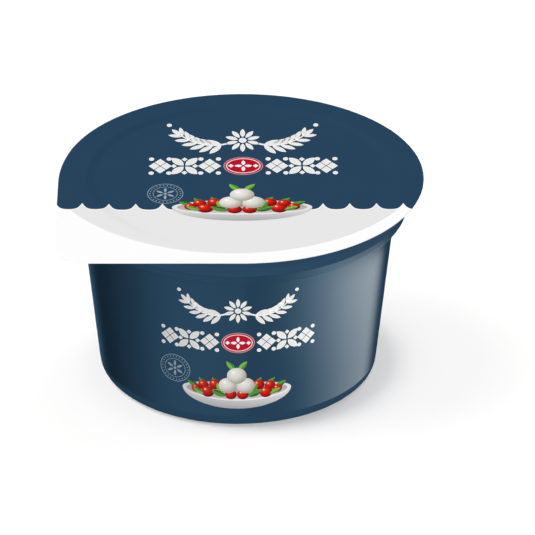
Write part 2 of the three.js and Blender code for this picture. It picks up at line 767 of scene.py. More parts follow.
@dataclass(frozen=True)
class RoundInk:
    """Ink shaded like a ball, light at its upper left and dark at its rim.

    It reads the piece's UV map, which runs from -1 to 1 over each drawn shape.
    """

    name: str
    glint: Colour
    light: Colour
    middle: Colour
    dark: Colour
    light_at: Pair = (-0.3, 0.36)
    light_fall: float = 1.5
    rim_start: float = -1.1
    rim_rise: float = 1.6
    glint_at: Pair = (-0.36, 0.42)
    glint_size: float = 0.16
    glint_blur: float = 0.12

    def make(self) -> Material:
        """Builds the material.

        Returns:
            The material.
        """
        recipe = Recipe(self.name)
        _, x, y, _ = recipe.place("UV")
        from_light = recipe.distance(x, y, *self.light_at)
        from_glint = recipe.distance(x, y, *self.glint_at)
        shadow = recipe.calc("MULTIPLY", from_light, self.light_fall, clamp=True)
        rim = recipe.calc("MULTIPLY_ADD", from_light, self.rim_rise, self.rim_start, clamp=True)
        body = recipe.mix(rim, recipe.mix(shadow, self.light, self.middle), self.dark)
        glint = recipe.above(self.glint_size, from_glint, self.glint_blur)
        return recipe.even_ink(recipe.mix(glint, body, self.glint))


@dataclass(frozen=True)
class LeafInk:
    """Leaf green, lighter on one side of a pale midrib and crossed by fine side veins.

    It reads the piece's UV map, which runs from -1 to 1 over each leaf, from stalk to tip along V.
    """

    name: str
    light: Colour
    dark: Colour
    vein: Colour
    side_blur: float = 0.5
    vein_slant: float = -0.9
    vein_count: float = 3.0
    vein_width: float = 0.12
    vein_blur: float = 0.1
    vein_strength: float = 0.35
    midrib_width: float = 0.1
    midrib_blur: float = 0.08
    midrib_strength: float = 0.8

    def make(self) -> Material:
        """Builds the material.

        Returns:
            The material.
        """
        recipe = Recipe(self.name)
        _, x, y, _ = recipe.place("UV")
        aside = recipe.calc("ABSOLUTE", x)
        blade = recipe.mix(recipe.above(x, 0.0, self.side_blur), self.light, self.dark)
        steps = recipe.calc("MULTIPLY", y, self.vein_count)
        ripple = recipe.calc("PINGPONG", recipe.calc("MULTIPLY_ADD", aside, self.vein_slant, steps), 0.5)
        in_vein = recipe.above(self.vein_width, ripple, self.vein_blur)
        in_midrib = recipe.above(self.midrib_width, aside, self.midrib_blur)
        veins = recipe.calc(
            "MAXIMUM",
            recipe.calc("MULTIPLY", in_vein, self.vein_strength),
            recipe.calc("MULTIPLY", in_midrib, self.midrib_strength),
        )
        return recipe.even_ink(recipe.mix(veins, blade, self.vein))


@dataclass(frozen=True)
class BowlInk:
    """White china shaded along the UV map's V, from its top to its foot, and towards both of its sides."""

    name: str
    top: Colour
    foot: Colour
    side_bend: float = 3.0
    side_strength: float = 0.5

    def make(self) -> Material:
        """Builds the material.

        Returns:
            The material.
        """
        recipe = Recipe(self.name)
        _, x, y, _ = recipe.place("UV")
        fall = recipe.calc("MULTIPLY_ADD", y, -0.5, 0.5, clamp=True)
        aside = recipe.calc("POWER", recipe.calc("ABSOLUTE", x), self.side_bend)
        side = recipe.calc("MULTIPLY", aside, self.side_strength)
        return recipe.even_ink(recipe.mix(recipe.calc("MAXIMUM", fall, side), self.top, self.foot))


class Ink(Enum):
    """The inks that the print is made with."""

    WHITE = FlatInk("ink_white", shade(232, 231, 228), shade(227, 226, 222))
    BRIGHT = FlatInk("ink_bright", shade(246, 247, 248), shade(240, 242, 243))
    RED = FlatInk("ink_red", shade(190, 16, 42), shade(176, 14, 36))
    ROSE = FlatInk("ink_rose", shade(190, 150, 160), shade(180, 140, 150))
    LINE = FlatInk("ink_line", shade(150, 168, 182), shade(138, 158, 172))
    TOMATO = RoundInk(
        "ink_tomato",
        glint=shade(246, 190, 165),
        light=shade(226, 58, 34),
        middle=shade(190, 22, 16),
        dark=shade(112, 10, 12),
    )
    CHEESE = RoundInk(
        "ink_cheese",
        glint=shade(246, 246, 244),
        light=shade(236, 235, 230),
        middle=shade(216, 214, 206),
        dark=shade(168, 164, 152),
    )
    LEAF = LeafInk("ink_leaf", shade(112, 178, 60), shade(58, 132, 42), shade(160, 200, 105))
    LEAF_DARK = LeafInk("ink_leaf_dark", shade(76, 140, 48), shade(34, 92, 34), shade(120, 168, 84))
    BOWL = BowlInk("ink_bowl", shade(228, 227, 225), shade(168, 168, 170))
    BOWL_RIM = BowlInk("ink_bowl_rim", shade(206, 206, 206), shade(236, 236, 236))
    BOWL_WELL = BowlInk("ink_bowl_well", shade(150, 146, 142), shade(196, 192, 188))


class InkShelf:
    """Makes each ink's material once."""

    def __init__(self) -> None:
        """Starts with no material made."""
        self.made: dict[Ink, Material] = {}

    def get(self, ink: Ink) -> Material:
        """Fetches an ink's material, and makes it first if it is new.

        Args:
            ink: The ink.

        Returns:
            The material.
        """
        if ink not in self.made:
            self.made[ink] = ink.value.make()
        return self.made[ink]


# ---- Tub and lid ----


@dataclass
class TubShell:
    """The plastic tub, turned about its own axis in two pieces: a low foot, and the body that stands on it.

    The gate is the small round mark that moulding leaves in the middle of the base.
    """

    flange_thickness: float = 1.4
    flange_edge: float = 0.5
    neck_top_radius: float = 54.5
    neck_root: float = 0.6
    neck_foot_radius: float = 54.0
    neck_foot_z: float = 57.1
    neck_edge: float = 0.4
    ledge_drop: float = 0.7
    wall_top_radius: float = 50.3
    ledge_fillet: float = 0.8
    wall_foot_radius: float = 44.5
    heel_radius: float = 3.0
    foot_z: float = 9.5
    foot_ring_width: float = 3.2
    foot_ring_edge: float = 0.3
    base_recess: float = 1.2
    base_slope: float = 1.0
    base_fillet: float = 0.5
    gate_radius: float = 1.6
    gate_floor_radius: float = 1.28
    gate_depth: float = 0.5
    pan_radius: float = 51.0
    pan_slope: float = 1.2
    pan_depth: float = 0.8
    seal_gap: float = 0.47
    steps: int = 256
    base_steps: int = 3
    edge_steps: int = 5
    ledge_steps: int = 6
    heel_steps: int = 12

    def __post_init__(self) -> None:
        """Reads the tub's axis, flange radius and height from the frame, and places its main corners."""
        low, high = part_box("tub")
        self.axis_x: float = (low.x + high.x) / 2
        self.flange_radius: float = (high.x - low.x) / 2 / MM
        self.top_z: float = high.z / MM
        self.flange_z: float = self.top_z - self.flange_thickness
        self.wall_top_z: float = self.neck_foot_z - self.ledge_drop
        self.wall_foot: Vector = at(self.wall_foot_radius, 0)
        self.wall_top: Vector = at(self.wall_top_radius, self.wall_top_z)
        self.neck_foot: Vector = at(self.neck_foot_radius, self.neck_foot_z)
        self.neck_top: Vector = at(self.neck_top_radius, self.flange_z)

    def wall_radius(self, height: float) -> float:
        """The wall's outer radius at a height."""
        flare = self.wall_top_radius - self.wall_foot_radius
        return self.wall_foot_radius + flare * height / self.wall_top_z

    def neck_radius(self, height: float) -> float:
        """The neck's outer radius at a height."""
        part = (height - self.neck_foot_z) / (self.flange_z - self.neck_foot_z)
        return self.neck_foot_radius + (self.neck_top_radius - self.neck_foot_radius) * part

    def ledge(self) -> list[Vector]:
        """The stacking ledge between the wall and the neck, with both of its corners rounded.

        Returns:
            Its points, from the wall outwards.
        """
        return [
            *rounded(self.wall_foot, self.wall_top, self.neck_foot, self.ledge_fillet, self.ledge_steps),
            *rounded(self.wall_top, self.neck_foot, self.neck_top, self.neck_edge, self.ledge_steps),
        ]

    def body_profile(self) -> list[Vector]:
        """The body's half section.

        Returns:
            Its points, from the middle of its flat underside, up the outside, to the middle of its top.
        """
        flange_low = at(self.flange_radius, self.flange_z)
        flange_high = at(self.flange_radius, self.top_z + self.seal_gap)
        seal = at(self.pan_radius, self.top_z + self.seal_gap)
        pan_z = self.top_z - self.pan_depth
        return [
            at(0, self.foot_z),
            at(self.wall_radius(self.foot_z), self.foot_z),
            *self.ledge(),
            *rounded(self.neck_foot, self.neck_top, flange_low, self.neck_root, self.edge_steps),
            *rounded(self.neck_top, flange_low, flange_high, self.flange_edge, self.edge_steps),
            *rounded(flange_low, flange_high, seal, self.flange_edge, self.edge_steps),
            seal,
            at(self.pan_radius - self.pan_slope, pan_z),
            at(0, pan_z),
        ]

    def foot_profile(self) -> list[Vector]:
        """The foot's half section.

        Returns:
            Its points, from the middle of the base, round the heel, to the middle of its flat top.
        """
        heel = rounded(at(0, 0), self.wall_foot, self.wall_top, self.heel_radius, self.heel_steps)
        ring_inner = heel[0].x / MM - self.foot_ring_width
        ring_edge = at(ring_inner, 0)
        recess_edge = at(ring_inner - self.base_slope, self.base_recess)
        gate_edge = at(self.gate_radius, self.base_recess)
        gate_z = self.base_recess - self.gate_depth
        return [
            at(0, gate_z),
            at(self.gate_floor_radius, gate_z),
            gate_edge,
            *rounded(gate_edge, recess_edge, ring_edge, self.base_fillet, self.base_steps),
            *rounded(recess_edge, ring_edge, heel[0], self.foot_ring_edge, self.base_steps),
            *heel,
            at(self.wall_radius(self.foot_z), self.foot_z),
            at(0, self.foot_z),
        ]

    def build(self) -> None:
        """Turns the foot and the body, and puts them in place of their node."""
        plastic = BarePlastic().make()
        self.turn("tub_foot", self.foot_profile(), plastic)
        self.turn("tub_shell", self.body_profile(), plastic)

    def turn(self, name: str, profile: list[Vector], plastic: Material) -> None:
        """Turns one closed half section about the tub's axis and dresses it.

        Args:
            name: The piece's name.
            profile: The half section, from the axis round to the axis.
            plastic: What the piece is made of.
        """
        piece = turned(name, braced(profile), self.axis_x, self.steps)
        piece.data.materials.append(plastic)
        smooth(piece, SHARP)
        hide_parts("tub")
        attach(piece, BODY)
        report(piece)


@dataclass
class TubLabel:
    """The glossy label that is moulded on to the wall, the ledge and the neck's foot.

    It leaves a narrow seam open at the back.
    """

    tub: TubShell
    foot_z: float = 4.1
    top_z: float = 59.7
    proud: float = 0.05
    thickness: float = 0.04
    seam: float = 0.5
    steps: int = 252

    def profile(self) -> list[Vector]:
        """The label's outer line.

        Returns:
            Its points, from just over the heel up over the ledge.
        """
        lift = Vector((self.proud * MM, 0, -self.proud * MM))
        foot = at(self.tub.wall_radius(self.foot_z), self.foot_z)
        top = at(self.tub.neck_radius(self.top_z), self.top_z)
        return [point + lift for point in (foot, *self.tub.ledge(), top)]

    def build(self) -> None:
        """Wraps the label round the wall."""
        gap = self.seam / self.tub.wall_top_radius
        label = turned("tub_label", braced(self.profile()), 0, self.steps, TURN - gap)
        label.rotation_euler.z = TURN / 4 + gap / 2
        label.location.x = self.tub.axis_x
        settle(label)
        label.data.materials.append(LabelGloss().make())
        finish_with(label, "SOLIDIFY", thickness=self.thickness * MM, offset=-1)
        smooth(label, SHARP)
        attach(label, BODY)
        report(label)


@dataclass
class FoilLid:
    """The foil: a disc with a squared pull tab and a pressed pan."""

    radius: float = 58.0
    tab_edge: float = 58.6
    tab_corner: float = 10.0
    flare_angle: float = 163.0
    thickness: float = 0.15
    print_room: float = 0.07
    pan_radius: float = 49.7
    pan_depth: float = 0.42
    pan_slope: float = 2.6
    pan_rounding: float = 10.0
    pan_lean: float = 130.0
    seal_radius: float = 51.5
    steps: int = 192
    disc_steps: int = 134
    flare_steps: int = 9
    corner_steps: int = 14
    pan_steps: int = 5

    def __post_init__(self) -> None:
        """Reads the lid's centre and top from the frame."""
        low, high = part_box("foil_lid")
        self.centre_x: float = low.x + self.tab_edge * MM
        self.top_z: float = high.z / MM - self.print_room

    def drop(self, x: float, y: float) -> float:
        """How far the pan's floor lies below the rim.

        The pan leans a little: it is pressed in deepest at one side and runs out to nothing opposite.

        Args:
            x: How far to the right of the lid's centre.
            y: How far behind it.

        Returns:
            The depth there.
        """
        lean = math.radians(self.pan_lean)
        towards = (x * math.cos(lean) + y * math.sin(lean)) / self.pan_radius
        return self.pan_depth * (1 + towards) / 2

    def outline(self) -> list[Vector]:
        """The foil's edge.

        Returns:
            Its points, anticlockwise from the straight front edge's right end.
        """
        flare = math.radians(self.flare_angle)
        wide = (self.tab_edge + self.radius * math.cos(flare)) / (1 + math.cos(flare))
        shift = self.radius - wide
        flare_x, flare_y = shift * math.cos(flare), shift * math.sin(flare)
        corner_x = self.tab_corner - self.tab_edge
        corner_y = self.tab_corner - self.radius
        return [
            *self.arc(0, 0, self.radius, -math.pi / 2, flare, self.disc_steps),
            *self.arc(flare_x, flare_y, wide, flare, math.pi, self.flare_steps)[1:],
            *self.arc(corner_x, corner_y, self.tab_corner, math.pi, 1.5 * math.pi, self.corner_steps),
        ]

    def arc(self, x: float, y: float, radius: float, start: float, end: float, steps: int) -> list[Vector]:
        """An arc in the foil's top face.

        Args:
            x: How far its centre is to the right of the lid's.
            y: How far its centre is behind the lid's.
            radius: Its radius.
            start: The angle it starts at, in radians.
            end: The angle it ends at, in radians.
            steps: How many edges make it.

        Returns:
            Its points, both ends included.
        """
        angles = [start + (end - start) * step / steps for step in range(steps + 1)]
        centre = Vector((self.centre_x + x * MM, y * MM, self.top_z * MM))
        return [centre + Vector((math.cos(a), math.sin(a), 0)) * radius * MM for a in angles]

    def profile(self) -> list[Vector]:
        """The pressed middle's half section.

        Returns:
            Its points, from the pan's centre out to the sealing rim.
        """
        centre = at(0, self.top_z - self.pan_depth)
        foot = at(self.pan_radius - self.pan_slope, self.top_z - self.pan_depth)
        brow = at(self.pan_radius, self.top_z)
        seal = at(self.seal_radius, self.top_z)
        return [
            centre,
            *rounded(centre, foot, brow, self.pan_rounding, self.pan_steps),
            *rounded(foot, brow, seal, self.pan_rounding, self.pan_steps),
            seal,
        ]

    def build(self) -> None:
        """Presses the pan, fills out to the outline and gives the foil its thickness."""
        pressed = turned("foil_sheet", self.profile(), self.centre_x, self.steps)
        self.lean(pressed)
        foil = joined("foil_sheet", [pressed, self.closed_edge()])
        with editing(foil, "EDGE"):
            bpy.ops.mesh.select_all(action="DESELECT")
            bpy.ops.mesh.select_non_manifold()
            bpy.ops.mesh.fill(use_beauty=True)
        face_up(foil)
        foil.data.materials.append(FoilPrint(self.centre_x).make())
        foil.data.materials.append(FoilBack().make())
        finish_with(foil, "SOLIDIFY", thickness=self.thickness * MM, offset=-1, material_offset=1)
        smooth(foil, SHARP)
        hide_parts("foil_lid")
        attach(foil, BODY)
        report(foil)

    def lean(self, pressed: Piece) -> None:
        """Raises the evenly pressed pan until its floor leans.

        Args:
            pressed: The foil's pressed middle.
        """
        for vert in pressed.data.vertices:
            share = (self.top_z - vert.co.z / MM) / self.pan_depth
            place = (vert.co.x - self.centre_x) / MM, vert.co.y / MM
            vert.co.z = (self.top_z - share * self.drop(*place)) * MM

    def closed_edge(self) -> Piece:
        """Draws the outline and closes it by its straight front edge.

        Returns:
            The outline, as edges alone.
        """
        outline = self.outline()
        ends = (outline[0], outline[-1])
        near = 0.01 * MM
        edge = single_vertex("foil_edge", outline[0])
        with editing(edge):
            draw_on(outline)
            pick_verts(edge, lambda place: min((place - end).length for end in ends) < near)
            bpy.ops.mesh.edge_face_add()
        return edge


def face_up(piece: Piece) -> None:
    """Turns the faces of a sheet that look down, so that all of them look up.

    Args:
        piece: The sheet.
    """
    with editing(piece, "FACE"):
        pick_faces(piece, lambda face: face.normal.z < 0)
        bpy.ops.mesh.flip_normals()


# ---- Print: flat drawings, laid on the pan or the wall ----


@dataclass(frozen=True)
class Placement:
    """Where a drawing goes on its carrier, and how much it is stretched."""

    across: float
    up: float
    wide: float = 1.0
    tall: float = 1.0


class Carrier(ABC):
    """A surface that takes print."""

    film: float = 0.012
    layer_step: float = 0.02

    @abstractmethod
    def point(self, across: float, up: float, lift: float) -> Vector:
        """The place on the surface of a drawing's point, that far above it."""

    @abstractmethod
    def slice_up(self, piece: Piece) -> None:
        """Cuts a flat drawing finely enough to follow the surface."""

    def lay(self, piece: Piece, placement: Placement, layer: int) -> None:
        """Lays a flat drawing on the surface as a thin film of ink.

        Args:
            piece: The drawing, in the XY plane.
            placement: Where it goes.
            layer: How many inks lie under it.
        """
        piece.scale = (placement.wide, placement.tall, 1)
        piece.location = (placement.across * MM, placement.up * MM, 0)
        settle(piece)
        self.slice_up(piece)
        lift = self.layer_step * (layer + 1)
        for vert in piece.data.vertices:
            vert.co = self.point(vert.co.x / MM, vert.co.y / MM, lift)
        finish_with(piece, "SOLIDIFY", thickness=self.film * MM, offset=-1)
        smooth(piece, FILM_SHARP)


@dataclass
class PanCarrier(Carrier):
    """The lid's flat, leaning pan floor. A drawing's up runs to the back."""

    lid: FoilLid

    def point(self, across: float, up: float, lift: float) -> Vector:
        """A point on the pan's floor."""
        height = self.lid.top_z - self.lid.drop(across, up) + lift
        return Vector((self.lid.centre_x + across * MM, up * MM, height * MM))

    def slice_up(self, piece: Piece) -> None:
        """Leaves the drawing whole, because the pan is flat."""


@dataclass
class WallCarrier(Carrier):
    """The label on the tapered wall. A drawing's up runs up the wall, and across runs round it."""

    label: TubLabel
    slice_width: float = 1.5

    def point(self, across: float, up: float, lift: float) -> Vector:
        """A point on the label.

        Args:
            across: How far round from the label's front, along its surface.
            up: How high above the tub's foot.
            lift: How far out from the label.

        Returns:
            The point.
        """
        tub = self.label.tub
        radius = tub.wall_radius(up)
        angle = across / radius
        out = (radius + self.label.proud + lift) * MM
        return Vector((tub.axis_x + out * math.sin(angle), -out * math.cos(angle), up * MM))

    def slice_up(self, piece: Piece) -> None:
        """Cuts the drawing into upright slices.

        Args:
            piece: The drawing, in the XY plane.
        """
        xs = [vert.co.x for vert in piece.data.vertices]
        width = self.slice_width * MM
        first = math.ceil(min(xs) / width)
        last = math.floor(max(xs) / width)
        with editing(piece):
            for cut in range(first, last + 1):
                bpy.ops.mesh.select_all(action="SELECT")
                bpy.ops.mesh.bisect(plane_co=(cut * width, 0, 0), plane_no=(1, 0, 0))


def ellipse(name: str, wide: float, tall: float, sides: int) -> Piece:
    """Adds a flat ellipse round the origin.

    Args:
        name: The shape's name.
        wide: Its half width.
        tall: Its half height.
        sides: How many edges it has. Four make a diamond.

    Returns:
        The shape.
    """
    bpy.ops.mesh.primitive_circle_add(vertices=sides, radius=MM, fill_type="NGON")
    bpy.context.object.scale = (wide, tall, 1)
    return new_piece(name)


@dataclass
class Drawing:
    """A flat drawing in millimetres: its shapes, filed by layer and ink.

    Every method that draws a shape takes its place, its sizes, its ink and its layer, in that order.
    """

    name: str
    shapes: dict[tuple[int, Ink], list[Piece]] = field(default_factory=dict)

    def keep(self, shape: Piece, ink: Ink, layer: int) -> None:
        """Files a finished shape by its layer and ink."""
        self.shapes.setdefault((layer, ink), []).append(shape)

    def place(self, shape: Piece, x: float, y: float, ink: Ink, layer: int) -> None:
        """Maps a shape that is drawn round the origin, puts it in its place and files it.

        Args:
            shape: The shape.
            x: Where its middle goes across.
            y: Where its middle goes up.
            ink: What it is printed with.
            layer: How many inks lie under it.
        """
        map_shape(shape)
        shape.location = (x * MM, y * MM, 0)
        settle(shape)
        self.keep(shape, ink, layer)

    def disc(self, x: float, y: float, wide: float, tall: float, ink: Ink, layer: int = 0) -> None:
        """Draws an ellipse of that half width and half height."""
        sides = max(FEWEST_SIDES, min(MOST_SIDES, int(12 * math.sqrt(max(wide, tall)) + 8)))
        self.place(ellipse("disc", wide, tall, sides), x, y, ink, layer)

    def half_disc(self, x: float, y: float, wide: float, tall: float, ink: Ink, layer: int = 0) -> None:
        """Draws the lower half of an ellipse.

        Args:
            x: Where the middle of its straight edge goes across.
            y: Where that goes up.
            wide: The ellipse's half width.
            tall: The ellipse's half height.
            ink: What it is printed with.
            layer: How many inks lie under it.
        """
        shape = ellipse("half_disc", wide, tall, MOST_SIDES)
        with editing(shape):
            bpy.ops.mesh.bisect(plane_co=(0, 0, 0), plane_no=(0, 1, 0), clear_outer=True)
        self.place(shape, x, y, ink, layer)

    def lozenge(self, x: float, y: float, half: float, ink: Ink, layer: int = 0) -> None:
        """Draws a diamond of that half width and half height."""
        self.place(ellipse("lozenge", half, half, 4), x, y, ink, layer)

    def leaf(
        self, x: float, y: float, length: float, width: float, turn: float, ink: Ink, layer: int = 0
    ) -> None:
        """Draws a leaf: a diamond with its sides rounded.

        Args:
            x: Where its stalk's end is across.
            y: Where that is up.
            length: Its length.
            width: Its greatest width.
            turn: Where it points, anticlockwise from straight up.
            ink: What it is printed with.
            layer: How many inks lie under it.
        """
        waist = 0.78
        shape = ellipse("leaf", width * waist, length / 2, 4)
        with editing(shape):
            pick_verts(shape, lambda place: abs(place.x) > 0.1 * width * MM)
            bpy.ops.mesh.bevel(offset_type="PERCENT", offset_pct=90, segments=7, affect="VERTICES")
        map_shape(shape)
        shape.location.y = length / 2 * MM
        settle(shape)
        shape.rotation_euler.z = math.radians(turn)
        shape.location = (x * MM, y * MM, 0)
        settle(shape)
        self.keep(shape, ink, layer)

    def petals(
        self, x: float, y: float, count: int, gap: float, size: Pair, ink: Ink, layer: int = 0
    ) -> None:
        """Draws leaves in a ring that all point outwards.

        Args:
            x: Where the ring's middle goes across.
            y: Where that goes up.
            count: How many leaves there are.
            gap: How far from the middle they start.
            size: A leaf's length and greatest width.
            ink: What they are printed with.
            layer: How many inks lie under them.
        """
        for petal in range(count):
            turn = 360 * petal / count
            foot = Vector((x, y, 0)) + polar(gap, turn + 90)
            self.leaf(foot.x, foot.y, *size, turn, ink, layer)

    def ring(self, x: float, y: float, size: Pair, line: float, ink: Ink, layer: int = 0) -> None:
        """Draws an elliptical line: an ellipse inset by the line's width, without its middle.

        Args:
            x: Where its middle goes across.
            y: Where that goes up.
            size: Its half width and half height.
            line: The line's width.
            ink: What it is printed with.
            layer: How many inks lie under it.
        """
        sides = max(RING_SIDES, int(14 * math.sqrt(max(size))))
        shape = ellipse("ring", *size, sides)
        with editing(shape, "FACE"):
            bpy.ops.mesh.inset(thickness=line * MM, depth=0)
            bpy.ops.mesh.delete(type="FACE")
        self.place(shape, x, y, ink, layer)

    def ribbon(self, route: Sequence[Vector], widths: Sequence[float], ink: Ink, layer: int = 0) -> None:
        """Draws a strip along a route: its first edge, extruded and turned from point to point.

        Args:
            route: The points that its middle follows.
            widths: Its width at each of them.
            ink: What it is printed with.
            layer: How many inks lie under it.
        """
        sides = []
        for index, (place, width) in enumerate(zip(route, widths)):
            before = route[max(index - 1, 0)]
            after = route[min(index + 1, len(route) - 1)]
            along = (after - before).normalized()
            aside = Vector((-along.y, along.x, 0)) * width / 2
            sides.append((place + aside, place - aside))
        shape = single_vertex("ribbon", sides[0][0] * MM)
        with editing(shape):
            draw_on([end * MM for end in sides[0]])
            for here, there in zip(sides, sides[1:]):
                self.step_edge(shape, here, there)
        face_up(shape)
        map_shape(shape)
        self.keep(shape, ink, layer)

    def step_edge(self, shape: Piece, here: tuple[Vector, Vector], there: tuple[Vector, Vector]) -> None:
        """Extrudes an edge, then moves its ends to their places.

        Args:
            shape: The ribbon, in edit mode.
            here: The edge's ends.
            there: The places that they go to.
        """
        near = 0.004
        pick_verts(shape, lambda place: min((place / MM - end).length for end in here) < near)
        middle = (there[0] + there[1] - here[0] - here[1]) / 2
        bpy.ops.mesh.extrude_region_move(TRANSFORM_OT_translate={"value": tuple(middle * MM)})
        for start, end in zip(here, there):
            moved = start + middle
            pick_verts(shape, lambda place: (place / MM - moved).length < near)
            bpy.ops.transform.translate(value=tuple((end - moved) * MM))

    def rimmed(self, width: float, shapes_of: Ink, rim: Ink, shelf: InkShelf) -> None:
        """Gives the shapes of one ink a thin rim in another ink.

        Args:
            width: The rim's width.
            shapes_of: The ink whose shapes get it.
            rim: The rim's ink.
            shelf: Where the inks' materials come from.
        """
        for (_, ink), shapes in self.shapes.items():
            if ink is not shapes_of:
                continue
            for shape in shapes:
                shape.data.materials.clear()
                shape.data.materials.append(shelf.get(ink))
                shape.data.materials.append(shelf.get(rim))
                with editing(shape, "FACE"):
                    bpy.ops.mesh.inset(thickness=width * MM, depth=0, use_individual=True)
                    bpy.ops.mesh.select_all(action="INVERT")
                    shape.active_material_index = 1
                    bpy.ops.object.material_slot_assign()

    def lay(self, carrier: Carrier, placement: Placement, prefix: str, slot: str, shelf: InkShelf) -> None:
        """Lays the drawing on a carrier, one piece for each layer and ink, and uses it up.

        Args:
            carrier: The surface that takes the drawing.
            placement: Where it goes.
            prefix: What the pieces' names start with.
            slot: Not used.
            shelf: Where the inks' materials come from.
        """
        for (layer, ink), shapes in sorted(self.shapes.items(), key=lambda item: item[0][0]):
            piece = joined(f"{prefix}_{self.name}_{ink.name.lower()}_{layer}", shapes)
            if not piece.data.materials:
                piece.data.materials.append(shelf.get(ink))
            carrier.lay(piece, placement, layer)
            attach(piece, BODY)
            report(piece)


def map_shape(shape: Piece) -> None:
    """Gives a shape drawn in the XY plane a UV map that runs from -1 to 1 over its box.

    Args:
        shape: The shape.
    """
    places = [vert.co for vert in shape.data.vertices]
    low = Vector((min(p.x for p in places), min(p.y for p in places)))
    high = Vector((max(p.x for p in places), max(p.y for p in places)))
    middle = (low + high) / 2
    half = (high - low) / 2
    layer = shape.data.uv_layers.get("UVMap") or shape.data.uv_layers.new(name="UVMap")
    for loop in shape.data.loops:
        place = places[loop.vertex_index]
        layer.data[loop.index].uv = ((place.x - middle.x) / half.x, (place.y - middle.y) / half.y)


def polar(radius: float, angle: float) -> Vector:
    """A flat point at that radius and angle."""
    turn = math.radians(angle)
    return Vector((radius * math.cos(turn), radius * math.sin(turn), 0))


@dataclass
class LeafyGarland:
    """Two leafy twigs with berries that sweep out to both sides of a daisy.

    A part is a place on a stem, from its foot at 0 to its tip at 1, and a taper is the share of its size
    that a thing loses on the way to the tip. The leaf at the tip has its own share of the full length
    and width.
    """

    foot: Pair = (3.9, -1.9)
    bend: Pair = (10.4, -4.3)
    tip: Pair = (16.0, 1.6)
    stem: float = 0.6
    stem_taper: float = 0.4
    stem_steps: int = 12
    pairs: int = 6
    first_pair: float = 0.1
    last_pair: float = 0.94
    leaf_length: float = 4.7
    leaf_width: float = 2.15
    leaf_taper: float = 0.28
    leaf_gap: float = 0.35
    leaf_turn: float = 34.0
    tip_part: float = 0.98
    tip_length: float = 0.75
    tip_width: float = 0.8
    berry: Pair = (18.9, 5.6)
    berry_size: float = 0.65
    daisy_y: float = -0.6
    petals: int = 10
    petal_gap: float = 1.3
    petal_size: Pair = (3.3, 1.75)
    heart: float = 1.0

    def draw(self) -> Drawing:
        """Draws the twigs and the daisy between them.

        Returns:
            The drawing.
        """
        art = Drawing("garland")
        for side in (1, -1):
            self.twig(art, side)
        art.petals(0, self.daisy_y, self.petals, self.petal_gap, self.petal_size, Ink.WHITE)
        art.disc(0, self.daisy_y, self.heart, self.heart, Ink.WHITE)
        return art

    def route(self, part: float, side: int) -> Vector:
        """The stem's place, from its foot at 0 to its tip at 1."""
        ends = [Vector((side * x, y, 0)) for x, y in (self.foot, self.bend, self.tip)]
        return ends[0].lerp(ends[1], part).lerp(ends[1].lerp(ends[2], part), part)

    def heading(self, part: float, side: int) -> float:
        """The stem's direction.

        Args:
            part: Where on the stem, from its foot at 0 to its tip at 1.
            side: The twig's side: 1 for the right, -1 for the left.

        Returns:
            The direction, anticlockwise from straight up.
        """
        step = 0.02
        along = self.route(min(part + step, 1), side) - self.route(max(part - step, 0), side)
        return math.degrees(math.atan2(along.y, along.x)) - 90

    def twig(self, art: Drawing, side: int) -> None:
        """Draws one twig: a tapered stem, leaves in pairs, a leaf at its tip and a berry beyond it.

        Args:
            art: The drawing.
            side: The twig's side: 1 for the right, -1 for the left.
        """
        parts = [step / self.stem_steps for step in range(self.stem_steps + 1)]
        widths = [self.stem * (1 - self.stem_taper * part) for part in parts]
        art.ribbon([self.route(part, side) for part in parts], widths, Ink.WHITE)
        reach = self.last_pair - self.first_pair
        for pair in range(self.pairs):
            self.leaf_pair(art, self.first_pair + reach * pair / (self.pairs - 1), side)
        tip = self.route(self.tip_part, side)
        length = self.leaf_length * self.tip_length
        width = self.leaf_width * self.tip_width
        art.leaf(tip.x, tip.y, length, width, self.heading(1, side), Ink.WHITE)
        art.disc(side * self.berry[0], self.berry[1], self.berry_size, self.berry_size, Ink.WHITE)

    def leaf_pair(self, art: Drawing, part: float, side: int) -> None:
        """Draws a leaf on each side of the stem.

        Args:
            art: The drawing.
            part: Where on the stem, from its foot at 0 to its tip at 1.
            side: The twig's side: 1 for the right, -1 for the left.
        """
        place = self.route(part, side)
        size = 1 - self.leaf_taper * part
        for hand in (1, -1):
            turn = self.heading(part, side) + hand * self.leaf_turn
            foot = place + polar(self.leaf_gap, turn + 90)
            art.leaf(foot.x, foot.y, self.leaf_length * size, self.leaf_width * size, turn, Ink.WHITE)


@dataclass
class OvalBadge:
    """A red oval with a fine ring and a small four-petalled flower between two diamonds."""

    wide: float = 5.3
    tall: float = 3.9
    border: float = 0.28
    ring_inset: float = 0.7
    ring_line: float = 0.22
    petals: int = 4
    petal_gap: float = 0.3
    petal_size: Pair = (2.0, 1.4)
    diamond_x: float = 3.3
    diamond: float = 0.75

    def draw(self) -> Drawing:
        """Draws the badge.

        Returns:
            The drawing.
        """
        art = Drawing("badge")
        art.disc(0, 0, self.wide, self.tall, Ink.ROSE, 0)
        art.disc(0, 0, self.wide - self.border, self.tall - self.border, Ink.RED, 1)
        ring = (self.wide - self.ring_inset, self.tall - self.ring_inset)
        art.ring(0, 0, ring, self.ring_line, Ink.BRIGHT, 2)
        art.petals(0, 0, self.petals, self.petal_gap, self.petal_size, Ink.BRIGHT, 2)
        for side in (1, -1):
            art.lozenge(side * self.diamond_x, 0, self.diamond, Ink.BRIGHT, 2)
        return art


